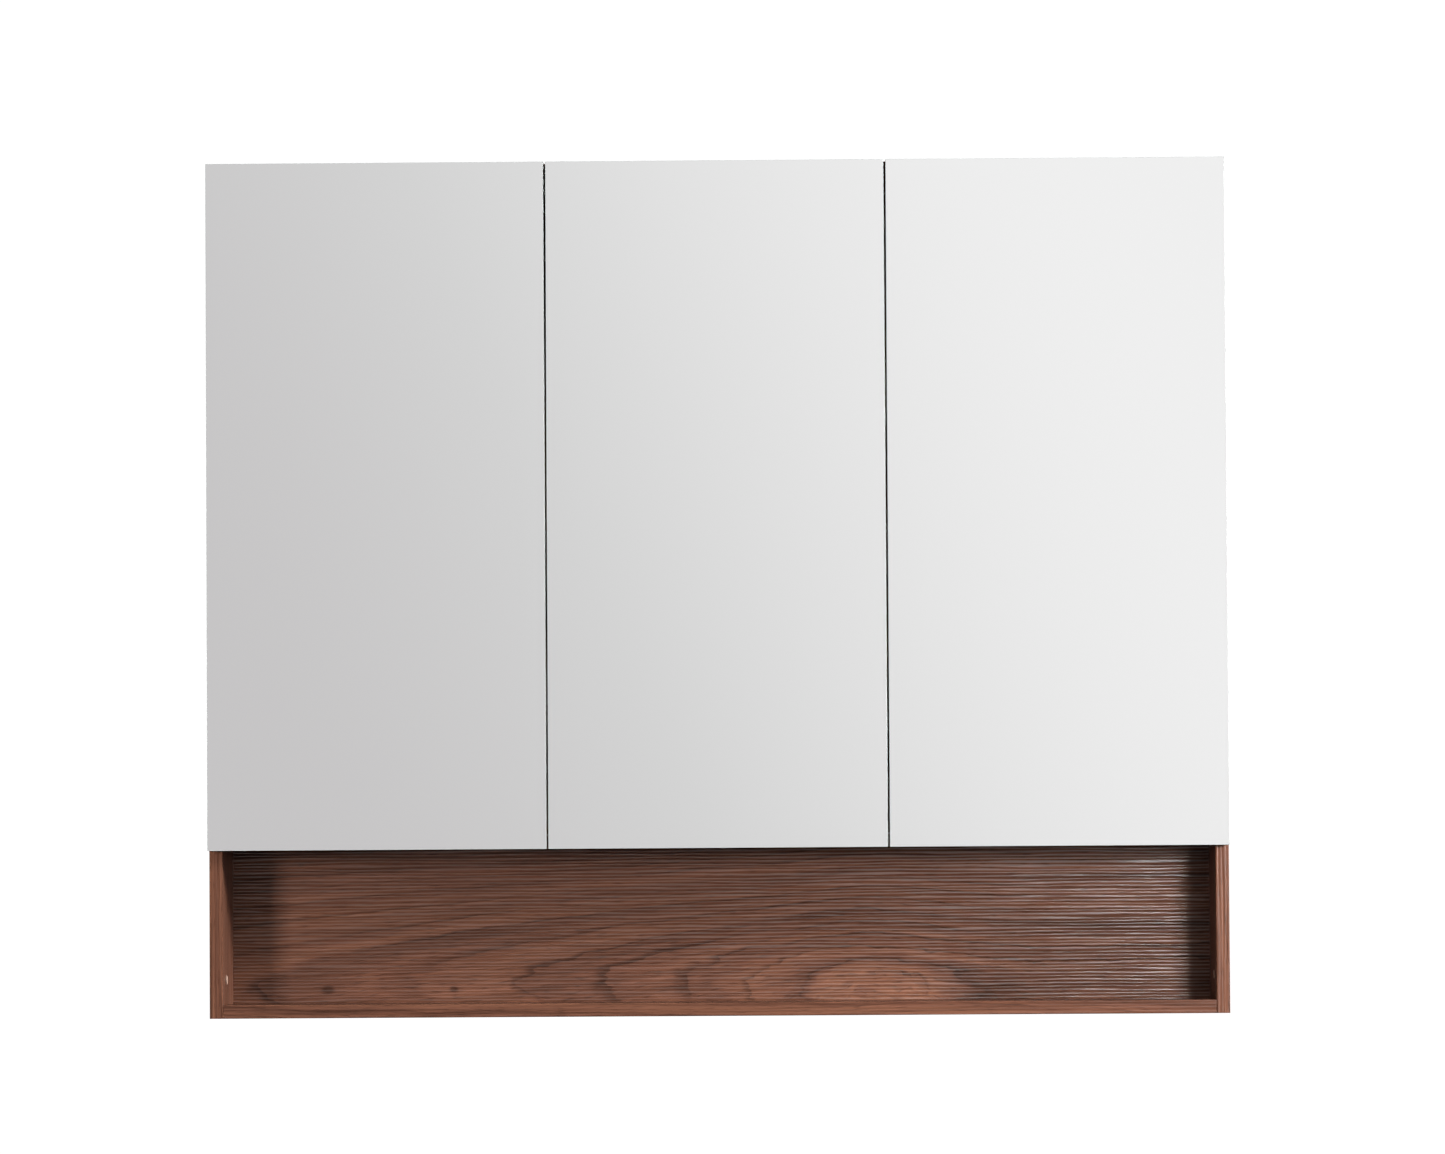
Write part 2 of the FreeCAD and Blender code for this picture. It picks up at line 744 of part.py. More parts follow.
def cover_caps():
    """Push-in caps at the open shelf, one in each side panel."""
    pieces = []
    for side in (-1, 1):
        start = (side * inner_half, front_y + cap_setback, floor_top + cap_height)
        head = rod(cap_radius, start, (-side, 0, 0), cap_head)
        outer = [edge for edge in head.Edges if abs(edge.CenterOfMass.x - start[0]) > cap_head - near]
        head = head.makeFillet(cap_crown, outer)
        stem = rod(cap_stem_radius, start, (side, 0, 0), cap_stem)
        pieces.append(head.fuse(stem).removeSplitter())
    return pieces


# Doors and shelves

def door_panel(door):
    """A door's board, bored for its hinge cups and their screws."""
    _, left, hinged_edge, hand, _ = door
    panel = box((left, left + door_width), (mirror_back_y, door_inner_y), (door_low, door_high))
    rear = edges_where(panel, lambda p: p.y > door_inner_y - near)
    panel = panel.makeFillet(door_edge_radius, rear)
    tools = [placed(cup_bore(), hinged_edge, hand, z) for z in hinge_zs]
    return panel.cut(tools + screw_holes(cup_screw_spots, door))


def mirror_panel(door):
    """A door's mirror, its front edges bevelled."""
    left = door[1]
    y_range = (mirror_back_y - mirror_glass, mirror_back_y)
    glass = box((left, left + door_width), y_range, (door_low, door_high))
    front = edges_where(glass, lambda p: p.y < y_range[0] + near)
    return glass.makeChamfer(mirror_bevel, front)


def bumpers(door):
    """Soft bumpers near the door's free edge."""
    _, left, _, hand, _ = door
    x = left + door_width - bumper_inset if hand > 0 else left + bumper_inset
    height = bumper_gap - bumper_clearance
    pieces = []
    for z in (divider_low + board / 2, door_high - bumper_end_inset):
        dome = rod(bumper_radius, (x, door_inner_y, z), (0, 1, 0), height)
        top = [edge for edge in dome.Edges if edge.CenterOfMass.y > door_inner_y + height - near]
        pieces.append(dome.makeFillet(bumper_crown, top))
    return pieces


def glass_shelf(limits, shelf_z):
    """A glass shelf, its long front edges bevelled."""
    x_range = (limits[0] + shelf_side_clearance, limits[1] - shelf_side_clearance)
    glass = box(x_range, (shelf_front_y, shelf_back_y), (shelf_z, shelf_z + shelf_glass))
    front = edges_where(glass, lambda p: p.y < shelf_front_y + near)
    return glass.makeChamfer(shelf_bevel, edges_along("x", front))


def save_carcass():
    """Boards, bands and the fittings that hold them."""
    save("side_panel_left", [side_panel(-1)])
    save("side_panel_right", [side_panel(1)])
    for index, name in enumerate(("bottom", "divider", "top")):
        save(name + "_panel", [cross_board(index)])
        save("edge_band_" + name, [cross_band(index)])
    for index, name in enumerate(("left", "right")):
        save("partition_" + name, [partition(index)])
    save("edge_bands_sides", side_bands())
    save("edge_bands_partitions", partition_bands())
    save("back_panel", [thin_back()])
    save("niche_back_panel", [niche_back()])
    save("wall_rail_upper", [wall_rail(upper_hole_z)])
    save("wall_rail_lower", [wall_rail(lower_hole_z)])
    save("dowels", dowels())
    save("cam_bolts", cam_bolts())
    save("cam_locks", cam_locks())
    save("partition_screws", [screw(*spot) for spot in partition_screw_spots()])
    save("cover_caps", cover_caps())
    save("shelf_pins", shelf_pins())


def save_shelves():
    """Glass shelves, counted from the bottom of each bay."""
    for limits, name in zip(bay_limits(), ("left", "middle", "right")):
        for number, shelf_z in enumerate(shelf_zs, start=1):
            save("glass_shelf_" + name + "_" + str(number), [glass_shelf(limits, shelf_z)])


def save_doors():
    """Doors with what is fixed to them, and each door's hinges."""
    fixed_to_carcass = {
        "hinge_plate_screws": plate_screws,
        "hinge_arm_screws": arm_screws,
        "hinge_arm_pins": arm_pin,
    }
    for door in doors():
        name = door[0]
        save("door_board_" + name, [door_panel(door)])
        save("door_mirror_" + name, [mirror_panel(door)])
        save("door_bumpers_" + name, bumpers(door))
        save("hinge_cups_" + name, hinge_set(hinge_cup, door))
        save("hinge_cup_screws_" + name, hinge_set(cup_screws, door))
        save("hinge_cup_pins_" + name, hinge_set(cup_pin, door))
        save("hinge_links_" + name, hinge_set(hinge_link, door))
        save("hinge_arms_" + name, hinge_set(hinge_arm, door))
        save("hinge_plates_" + name, hinge_set(mounting_plate, door))
    for node, make in fixed_to_carcass.items():
        save(node, [piece for door in doors() for piece in hinge_set(make, door)])


os.makedirs("parts", exist_ok=True)
save_carcass()
save_shelves()
save_doors()
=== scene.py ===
"""Looks of the hanging mirror cabinet: materials for its boards, glass and fittings, light and camera."""
import math

import bmesh
import bpy
from mathutils import Euler, Matrix, Vector


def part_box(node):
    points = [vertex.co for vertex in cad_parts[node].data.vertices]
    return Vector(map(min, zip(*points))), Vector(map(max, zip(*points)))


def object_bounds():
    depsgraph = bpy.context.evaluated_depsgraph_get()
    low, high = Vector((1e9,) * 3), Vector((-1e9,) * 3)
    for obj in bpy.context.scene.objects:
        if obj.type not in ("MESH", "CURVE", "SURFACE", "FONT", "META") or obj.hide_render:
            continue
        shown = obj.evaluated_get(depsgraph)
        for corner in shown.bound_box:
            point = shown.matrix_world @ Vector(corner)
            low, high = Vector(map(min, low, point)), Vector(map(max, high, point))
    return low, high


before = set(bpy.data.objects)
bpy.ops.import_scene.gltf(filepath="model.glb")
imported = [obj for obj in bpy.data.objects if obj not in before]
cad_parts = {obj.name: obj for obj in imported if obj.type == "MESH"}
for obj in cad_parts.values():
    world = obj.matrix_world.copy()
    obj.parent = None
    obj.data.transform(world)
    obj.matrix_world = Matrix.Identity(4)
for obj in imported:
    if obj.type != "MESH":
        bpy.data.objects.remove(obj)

cad_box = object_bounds()

# Places read from the frame
carcass_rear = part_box("side_panel_left")[1][1]
thin_back_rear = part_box("back_panel")[1][1]
niche_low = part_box("niche_back_panel")[0]
mirror_low, mirror_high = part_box("door_mirror_left")
shelf_glass_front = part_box("glass_shelf_left_1")[0][1]

# Camera
camera_place = Vector((0.108, -7.0, -0.378))
camera_yaw = 0.0150
camera_pitch = 0.0447
camera_roll = -0.0060
camera_focal = 7782.3       # in units of which the view is 1445 wide
view_width = 1445
sensor_width = 36.0
camera_far = 100.0


# Node helpers

def start_material(name):
    """A new material with only a Principled shader and its output."""
    material = bpy.data.materials.new(name)
    material.use_nodes = True
    tree = material.node_tree
    tree.nodes.clear()
    output = tree.nodes.new("ShaderNodeOutputMaterial")
    shader = tree.nodes.new("ShaderNodeBsdfPrincipled")
    tree.links.new(shader.outputs["BSDF"], output.inputs["Surface"])
    return material, tree, shader


def put(tree, socket, value):
    """Link an output socket to an input socket, or set a plain value on it."""
    if isinstance(value, bpy.types.NodeSocket):
        tree.links.new(value, socket)
    else:
        socket.default_value = value


def add(tree, kind, inputs=None, **settings):
    """A node of a kind, with its settings and inputs."""
    node = tree.nodes.new("ShaderNode" + kind)
    for key, value in settings.items():
        setattr(node, key, value)
    for key, value in (inputs or {}).items():
        put(tree, node.inputs[key], value)
    return node


def maths(tree, operation, first, second=0.0, third=None):
    """One Math node's output."""
    inputs = {0: first, 1: second}
    if third is not None:
        inputs[2] = third
    return add(tree, "Math", inputs, operation=operation).outputs[0]


def object_axes(tree):
    """The X, Y and Z outputs of the object coordinates."""
    place = add(tree, "TexCoord").outputs["Object"]
    return add(tree, "SeparateXYZ", {"Vector": place}).outputs


def grain_point(tree, along, across, scale, shift=0.0):
    """A texture point in a board's plane, scaled apart along and across the grain."""
    return add(tree, "CombineXYZ", {
        "X": maths(tree, "MULTIPLY", along, scale[0]),
        "Y": maths(tree, "MULTIPLY_ADD", across, scale[1], shift),
        "Z": shift,
    }).outputs[0]


def noise(tree, point, detail=2.0, roughness=0.5, scale=1.0):
    """A noise texture's factor at a point."""
    inputs = {"Vector": point, "Scale": scale, "Detail": detail, "Roughness": roughness}
    return add(tree, "TexNoise", inputs).outputs[0]


def remap(tree, value, low, high, to_low=0.0, to_high=1.0, smooth=False):
    """A value moved from one range to another, held inside it."""
    kind = "SMOOTHSTEP" if smooth else "LINEAR"
    inputs = {
        "Value": value, "From Min": low, "From Max": high, "To Min": to_low, "To Max": to_high,
    }
    return add(tree, "MapRange", inputs, interpolation_type=kind, clamp=True).outputs[0]


def ramp(tree, factor, stops):
    """A colour ramp through (position, colour) stops."""
    node = add(tree, "ValToRGB", {"Fac": factor})
    elements = node.color_ramp.elements
    while len(elements) > 1:
        elements.remove(elements[-1])
    elements[0].position = stops[0][0]
    elements[0].color = (*stops[0][1], 1.0)
    for position, colour in stops[1:]:
        elements.new(position).color = (*colour, 1.0)
    return node.outputs[0]


def mix_colours(tree, factor, first, second, blend="MIX"):
    """Two colours mixed."""
    node = add(tree, "Mix", {"Factor": factor}, data_type="RGBA", blend_type=blend)
    for key, value in ((6, first), (7, second)):
        if isinstance(value, tuple):
            value = (*value, 1.0)
        put(tree, node.inputs[key], value)
    return node.outputs[2]


def bump(tree, shader, height, strength, distance):
    """Relief on a shader."""
    inputs = {"Height": height, "Strength": strength, "Distance": distance}
    put(tree, shader.inputs["Normal"], add(tree, "Bump", inputs).outputs[0])


# Wood

walnut_dark = (0.052, 0.0230, 0.0150)
walnut_middle = (0.112, 0.0465, 0.0290)
walnut_light = (0.190, 0.0810, 0.0470)
walnut_stops = [(0.16, walnut_dark), (0.45, walnut_middle), (0.80, walnut_light)]
chipboard_dark = (0.23, 0.15, 0.09)
chipboard_light = (0.50, 0.37, 0.24)
chipboard_middle = (0.36, 0.25, 0.15)
chipboard_stops = [(0.1, chipboard_dark), (0.5, chipboard_light), (0.9, chipboard_middle)]
chips_per_metre = 420.0

ring_width = 0.0093         # between growth rings
cathedral = 0.0135          # how wide the flat-sawn arches open: height squared over length
crescent_radius = 0.0275    # of the dark ring around an arch's heart
crescent_half_width = 0.004
heart_radius = 0.065        # within which the wood is paler
quarter_sawn_lean = 0.03    # how far the rings of a quarter-sawn board lean from its length
emboss_pitch = 0.0031       # between the embossed grain lines
relief_depth = 0.0008       # of the embossing, before its strength
bare_skin = 0.0002          # over which a laminated face gives way to a bare one

# Texture scales: features per metre along the grain and across it
slow_bend = (2.6, 9.0)
quick_bend = (11.0, 60.0)
ring_wobble = (26.0, 80.0)
tone_bands = (0.9, 75.0)
ring_pace = (0.5, 50.0)
line_patches = (5.0, 25.0)
fine_streaks = (7.0, 430.0)
pore_marks = (60.0, 900.0)
emboss_sway = (7.0, 130.0)
emboss_breaks = (16.0, 260.0)
fleck_marks = (160.0, 1500.0)

# How far those textures move things
slow_bend_depth = 0.022     # metres across the grain
quick_bend_depth = 0.0035
plain_wobble = 0.006
arch_wobble = 0.050         # metres along the grain, at an arch's tip
pace_swing = 1.2            # in rings
sway_turns = 1.8            # in embossed lines
line_darkness = 0.55
crescent_darkness = 0.16
heart_paleness = 0.05


def centred_noise(tree, point, detail=2.0):
    """A noise texture that swings either side of nothing."""
    return maths(tree, "SUBTRACT", noise(tree, point, detail), 0.5)


def arched_rings(tree, along, across, eye, wobble):
    """How far up the tree's radius each point lies on a flat-sawn face.

    The rings close in arches around an eye, and the grain half follows them.
    """
    from_eye = maths(tree, "SUBTRACT", along, eye[0])
    above = maths(tree, "SUBTRACT", across, eye[1])
    before = maths(tree, "MULTIPLY", from_eye, -1.0)
    beyond = remap(tree, from_eye, -0.02, 0.16, 0.0, 0.07, smooth=True)
    inputs = {0: before, 1: beyond, 2: 0.06}
    reach = add(tree, "Math", inputs, operation="SMOOTH_MAX").outputs[0]
    arch = maths(tree, "DIVIDE", maths(tree, "POWER", above, 2.0), cathedral)
    arch = maths(tree, "MULTIPLY_ADD", wobble, arch_wobble, maths(tree, "ADD", arch, reach))
    radius = maths(tree, "SQRT", maths(tree, "MULTIPLY", arch, cathedral))
    flow = maths(tree, "MULTIPLY", maths(tree, "ADD", radius, above), 0.5)
    return radius, flow


def heart_tone(tree, radius):
    """What an arch's heart and the dark crescent around it add to the tone."""
    aside = maths(tree, "ABSOLUTE", maths(tree, "SUBTRACT", radius, crescent_radius))
    crescent = remap(tree, aside, 0.0, crescent_half_width, -crescent_darkness, 0.0, smooth=True)
    heart = remap(tree, radius, crescent_radius, heart_radius, heart_paleness, 0.0, smooth=True)
    return maths(tree, "ADD", crescent, heart)


def knot_shade(tree, along, across, knots):
    """Darkening at small knots, each a place along and across the grain and a size."""
    shade = 1.0
    for place_along, place_across, size in knots:
        aside = maths(tree, "MULTIPLY", maths(tree, "SUBTRACT", along, place_along), 0.7)
        above = maths(tree, "SUBTRACT", across, place_across)
        squares = maths(tree, "MULTIPLY_ADD", above, above, maths(tree, "POWER", aside, 2.0))
        distance = maths(tree, "SQRT", squares)
        spot = remap(tree, distance, size * 0.3, size, 0.45, 1.0, smooth=True)
        shade = maths(tree, "MULTIPLY", spot, shade)
    return shade


def embossed_lines(tree, along, across, shift):
    """Height of the embossed grain: wavering lines that fade in and out, around a half."""
    sway = centred_noise(tree, grain_point(tree, along, across, emboss_sway, shift), 3.0)
    lines = maths(tree, "DIVIDE", across, emboss_pitch)
    turns = maths(tree, "MULTIPLY_ADD", sway, sway_turns, lines)
    ridges = maths(tree, "SINE", maths(tree, "MULTIPLY", turns, 2.0 * math.pi))
    breaks = noise(tree, grain_point(tree, along, across, emboss_breaks, shift + 2.0), 2.0)
    swing = remap(tree, breaks, 0.3, 0.6, 0.05, 0.26)
    return maths(tree, "MULTIPLY_ADD", ridges, swing, 0.5)


def chipboard(tree):
    """Pressed chips, each with its own colour."""
    cells = add(tree, "TexVoronoi", {"Scale": chips_per_metre}).outputs["Color"]
    return ramp(tree, add(tree, "SeparateXYZ", {"Vector": cells}).outputs[0], chipboard_stops)


def walnut(name, grain, shift, eye=None, knots=(), raw_behind=None, relief=0.5, gloss=0.13):
    """Walnut laminate with printed figure and embossed grain, running along X or Z.

    Behind the depth raw_behind the board is bare: a sawn rear edge or an unfaced rear side.
    Each texture has its own shift, so that no two of them line up.
    """
    material, tree, shader = start_material(name)
    x, y, z = object_axes(tree)
    along = x if grain == "X" else z
    other = z if grain == "X" else x
    across = maths(tree, "ADD", other, y)

    # Growth rings and the way the grain flows
    slow = centred_noise(tree, grain_point(tree, along, across, slow_bend, shift))
    quick = centred_noise(tree, grain_point(tree, along, across, quick_bend, shift + 3.0))
    bend = maths(tree, "MULTIPLY_ADD", slow, slow_bend_depth, across)
    bend = maths(tree, "MULTIPLY_ADD", quick, quick_bend_depth, bend)
    wobble = centred_noise(tree, grain_point(tree, along, across, ring_wobble, shift + 5.0), 3.0)
    if eye:
        radius, flow = arched_rings(tree, along, bend, eye, wobble)
    else:
        radius = maths(tree, "MULTIPLY_ADD", along, quarter_sawn_lean, bend)
        radius = maths(tree, "MULTIPLY_ADD", wobble, plain_wobble, radius)
        flow = bend
    uneven = centred_noise(tree, grain_point(tree, along, radius, ring_pace, shift + 9.0), 1.0)
    pace = maths(tree, "MULTIPLY_ADD", uneven, pace_swing, maths(tree, "DIVIDE", radius, ring_width))
    growth = maths(tree, "FRACT", pace)

    # Tone
    bands = noise(tree, grain_point(tree, along, radius, tone_bands, shift), 3.0, 0.6)
    late_wood = remap(tree, growth, 0.45, 1.0, 0.0, 0.07)
    tone = maths(tree, "SUBTRACT", bands, late_wood)
    if eye:
        tone = maths(tree, "ADD", tone, heart_tone(tree, radius))
    colour = ramp(tree, tone, walnut_stops)

    # Fine marks, and painted shade in the embossed grooves
    lines = remap(tree, growth, 0.0, 0.22, 1.0, 0.0, smooth=True)
    patches = noise(tree, grain_point(tree, along, across, line_patches, shift + 7.0))
    patches = remap(tree, patches, 0.36, 0.56, 0.25, 1.0)
    streaks = noise(tree, grain_point(tree, along, flow, fine_streaks, shift), 4.0, 0.75)
    pores = noise(tree, grain_point(tree, along, flow, pore_marks, shift), 1.0)
    emboss = embossed_lines(tree, along, across, shift)
    line_strength = maths(tree, "MULTIPLY", lines, patches)
    line_shade = maths(tree, "MULTIPLY_ADD", line_strength, -line_darkness, 1.0)
    streak_shade = remap(tree, streaks, 0.3, 0.7, 0.64, 1.34)
    pore_shade = remap(tree, pores, 0.58, 0.70, 1.0, 0.66)
    # Painted shade: the colour is darkened along the embossed grooves, where shade falls in the relief
    painted_groove_shade = remap(tree, emboss, 0.30, 0.6, 0.90, 1.02)
    shade = maths(tree, "MULTIPLY", maths(tree, "MULTIPLY", streak_shade, line_shade), pore_shade)
    shade = maths(tree, "MULTIPLY", shade, painted_groove_shade)
    if knots:
        shade = maths(tree, "MULTIPLY", shade, knot_shade(tree, along, across, knots))
    # The grain marks and the painted groove shade, as one grey that multiplies the colour
    grey = add(tree, "CombineXYZ", {"X": shade, "Y": shade, "Z": shade}).outputs[0]
    colour = mix_colours(tree, 1.0, colour, grey, "MULTIPLY")
    if raw_behind is not None:
        rear = remap(tree, y, raw_behind - bare_skin, raw_behind + bare_skin)
        colour = mix_colours(tree, rear, colour, chipboard(tree))

    # Surface
    put(tree, shader.inputs["Base Color"], colour)
    put(tree, shader.inputs["Roughness"], remap(tree, streaks, 0.3, 0.7, 0.34, 0.27))
    polish = remap(tree, emboss, 0.46, 0.60, 0.08 * gloss, 1.9 * gloss)
    put(tree, shader.inputs["Specular IOR Level"], polish)
    height = maths(tree, "MULTIPLY_ADD", pores, -0.25, emboss)
    bump(tree, shader, height, relief, relief_depth)
    return material


def beech_material(name):
    """Beech with its short dark flecks."""
    material, tree, shader = start_material(name)
    x, y, z = object_axes(tree)
    flecks = noise(tree, grain_point(tree, x, maths(tree, "ADD", y, z), fleck_marks), 2.0)
    put(tree, shader.inputs["Base Color"], ramp(tree, flecks, [
        (0.35, (0.36, 0.22, 0.12)), (0.55, (0.58, 0.40, 0.23)), (0.7, (0.66, 0.48, 0.30)),
    ]))
    put(tree, shader.inputs["Roughness"], remap(tree, flecks, 0.3, 0.7, 0.7, 0.55))
    bump(tree, shader, flecks, 0.2, 0.0002)
    return material


# Glass, metal and plastic

mirror_silver = (0.93, 0.93, 0.93)
mirror_edge_light = (0.50, 0.55, 0.53)
mirror_edge_dark = (0.40, 0.46, 0.44)
mirror_paint = (0.20, 0.21, 0.21)
glass_clear = (0.93, 0.985, 0.965)
glass_edge_green = (0.42, 0.72, 0.62)
glass_index = 1.5
drawn_lines = (120.0, 2600.0)   # per metre along the drawing and across it
fine_relief = 0.0001


def mirror_material(name):
    """Silvered glass: a reflecting face with ground, pale edges and a grey painted back."""
    material, tree, shader = start_material(name)
    _, y, _ = object_axes(tree)
    face_y = mirror_low[1]
    paint_y = mirror_high[1]
    front = remap(tree, y, face_y + 0.00005, face_y + 0.00015, 1.0, 0.0)
    rear = remap(tree, y, paint_y - 0.0003, paint_y - 0.0002)
    place = add(tree, "TexCoord").outputs["Object"]
    smear = noise(tree, place, 3.0, 0.6, 9.0)
    edge_colour = mix_colours(tree, smear, mirror_edge_dark, mirror_edge_light)
    edge_colour = mix_colours(tree, rear, edge_colour, mirror_paint)
    put(tree, shader.inputs["Base Color"], mix_colours(tree, front, edge_colour, mirror_silver))
    put(tree, shader.inputs["Metallic"], front)
    face_gloss = remap(tree, smear, 0.3, 0.7, 0.012, 0.022)
    edge_gloss = remap(tree, smear, 0.3, 0.7, 0.22, 0.34)
    blend = add(tree, "Mix", {"Factor": front, "A": edge_gloss, "B": face_gloss}).outputs[0]
    put(tree, shader.inputs["Roughness"], blend)
    return material


def shelf_glass_material(name, edge_y):
    """Clear float glass with a green polished front edge."""
    material, tree, shader = start_material(name)
    _, y, _ = object_axes(tree)
    place = add(tree, "TexCoord").outputs["Object"]
    edge = remap(tree, y, edge_y + 0.0002, edge_y + 0.0012, 1.0, 0.0)
    put(tree, shader.inputs["Base Color"], mix_colours(tree, edge, glass_clear, glass_edge_green))
    smear = noise(tree, place, 4.0, 0.6, 14.0)
    put(tree, shader.inputs["Roughness"], remap(tree, smear, 0.35, 0.7, 0.01, 0.05))
    shader.inputs["Transmission Weight"].default_value = 1.0
    shader.inputs["IOR"].default_value = glass_index
    return material


def plated_material(name, bright, dark, gloss, brush_axis="Z"):
    """Plated steel with faint drawing lines, stains and a fine relief."""
    material, tree, shader = start_material(name)
    place = add(tree, "TexCoord").outputs["Object"]
    x, y, z = object_axes(tree)
    along = z if brush_axis == "Z" else y
    lines = noise(tree, grain_point(tree, along, maths(tree, "ADD", x, y), drawn_lines), 2.0)
    stains = noise(tree, place, 4.0, 0.6, 160.0)
    put(tree, shader.inputs["Base Color"], mix_colours(tree, remap(tree, stains, 0.35, 0.7), bright, dark))
    put(tree, shader.inputs["Roughness"], remap(tree, stains, 0.3, 0.7, gloss, gloss + 0.16))
    shader.inputs["Metallic"].default_value = 1.0
    bump(tree, shader, lines, 0.12, fine_relief)
    return material


def moulded_material(name, light, dark, gloss, clear=0.0):
    """Moulded plastic or silicone with a fine spark-eroded grain."""
    material, tree, shader = start_material(name)
    place = add(tree, "TexCoord").outputs["Object"]
    cloud = noise(tree, place, 3.0, 0.6, 220.0)
    grain = noise(tree, place, 2.0, 0.5, 4200.0)
    put(tree, shader.inputs["Base Color"], mix_colours(tree, cloud, light, dark))
    put(tree, shader.inputs["Roughness"], remap(tree, cloud, 0.3, 0.7, gloss, gloss + 0.1))
    shader.inputs["Transmission Weight"].default_value = clear
    bump(tree, shader, grain, 0.15, fine_relief)
    return material


def dress(node, material):
    """Give a CAD node its material."""
    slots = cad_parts[node].material_slots
    if not slots:
        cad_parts[node].data.materials.append(material)
        return
    for slot in slots:
        slot.material = material


rear_skin = 0.0005          # depth of a board's bare rear face
band_relief = 0.25
band_gloss = 0.06


def dress_boards():
    """Walnut for every board, each with its own stretch of figure."""
    sawn_edge = carcass_rear - rear_skin
    upright = ["side_panel_left", "side_panel_right", "partition_left", "partition_right"]
    for index, node in enumerate(upright):
        dress(node, walnut("walnut_" + node, "Z", 11.0 + 5.0 * index, raw_behind=sawn_edge))
    for index, node in enumerate(("bottom_panel", "divider_panel", "top_panel")):
        dress(node, walnut("walnut_" + node, "X", 41.0 + 5.0 * index, raw_behind=sawn_edge))
    for index, node in enumerate(("wall_rail_upper", "wall_rail_lower")):
        dress(node, walnut("walnut_" + node, "X", 61.0 + 5.0 * index))
    bare_side = thin_back_rear - rear_skin
    dress("back_panel", walnut("walnut_back_panel", "X", 71.0, raw_behind=bare_side, relief=0.35))
    floor_across = niche_low[2] + niche_low[1]
    eye = (0.128, floor_across + 0.014)
    knot_across = floor_across + 0.012
    knots = [(-0.353, knot_across, 0.006), (-0.240, knot_across, 0.004)]
    niche_wood = walnut("walnut_niche_back", "X", 81.0, eye, knots, relief=1.0, gloss=0.41)
    dress("niche_back_panel", niche_wood)
    for index, door in enumerate(("left", "middle", "right")):
        dress("door_board_" + door, walnut("walnut_door_" + door, "Z", 91.0 + 5.0 * index))


def dress_bands():
    """Edge bands, which follow the grain of their boards."""
    band_look = {"relief": band_relief, "gloss": band_gloss}
    dress("edge_bands_sides", walnut("walnut_side_bands", "Z", 121.0, **band_look))
    dress("edge_bands_partitions", walnut("walnut_partition_bands", "Z", 126.0, **band_look))
    for index, level in enumerate(("bottom", "divider", "top")):
        band = walnut("walnut_band_" + level, "X", 133.0 + 5.0 * index, **band_look)
        dress("edge_band_" + level, band)


def dress_glass():
    """Mirrors and glass shelves."""
    mirror = mirror_material("mirror_silvered")
    glass = shelf_glass_material("glass_shelf_clear", shelf_glass_front)
    for bay in ("left", "middle", "right"):
        dress("door_mirror_" + bay, mirror)
        dress("glass_shelf_" + bay + "_1", glass)
        dress("glass_shelf_" + bay + "_2", glass)


def dress_hardware():
    """Hinges, screws, pins, caps, dowels and bumpers."""
    nickel = plated_material("nickel_plate", (0.74, 0.72, 0.68), (0.58, 0.56, 0.53), 0.22)
    zinc = plated_material("zinc_plate", (0.72, 0.73, 0.74), (0.52, 0.53, 0.56), 0.30, "Y")
    steel_pin = plated_material("pin_steel", (0.66, 0.66, 0.66), (0.50, 0.50, 0.50), 0.18)
    for door in ("left", "middle", "right"):
        for part in ("cups", "links", "arms", "plates"):
            dress("hinge_" + part + "_" + door, nickel)
        dress("hinge_cup_screws_" + door, zinc)
        dress("hinge_cup_pins_" + door, steel_pin)
        dress("door_bumpers_" + door, moulded_material(
            "silicone_" + door, (0.86, 0.87, 0.86), (0.78, 0.79, 0.78), 0.25, clear=0.6))
    for node in ("hinge_plate_screws", "hinge_arm_screws", "partition_screws", "cam_bolts"):
        dress(node, zinc)
    dress("hinge_arm_pins", steel_pin)
    dress("shelf_pins", nickel)
    dress("cam_locks", plated_material("cam_zinc", (0.55, 0.55, 0.57), (0.40, 0.40, 0.42), 0.42))
    dress("cover_caps", moulded_material("cap_plastic", (0.45, 0.31, 0.24), (0.38, 0.25, 0.19), 0.35))
    dress("dowels", beech_material("beech_dowel"))


# Stage, light and camera

floor_drop = 1.10           # below the cabinet
floor_half = 14.0
floor_light = (0.80, 0.80, 0.79)
floor_dark = (0.76, 0.76, 0.75)
floor_fade = (1.5, 7.0)     # distances over which the floor turns white
card_y = -9.0
flag_y = -8.9
flag_top = -0.24            # just under what the mirrors see
card_grey = (0.605, 0.595, 0.600)
card_middle = (0.70, 0.70, 0.70)
card_white = (0.93, 0.93, 0.93)
card_slant = 0.43           # how much the card's fade climbs as it crosses
seen_white = 1.05
ambient = 0.08
reflected_room = 0.60


def stage_plane(name, corners, material):
    """A flat stage piece through four corners."""
    mesh = bpy.data.meshes.new(name)
    shape = bmesh.new()
    shape.faces.new([shape.verts.new(corner) for corner in corners])
    shape.to_mesh(mesh)
    shape.free()
    mesh.materials.append(material)
    piece = bpy.data.objects.new(name, mesh)
    bpy.context.scene.collection.objects.link(piece)
    return piece


def upright_plane(name, y, half_width, low, high, material):
    """A stage piece that stands across the view."""
    return stage_plane(name, [
        (-half_width, y, low), (-half_width, y, high), (half_width, y, high), (half_width, y, low),
    ], material)


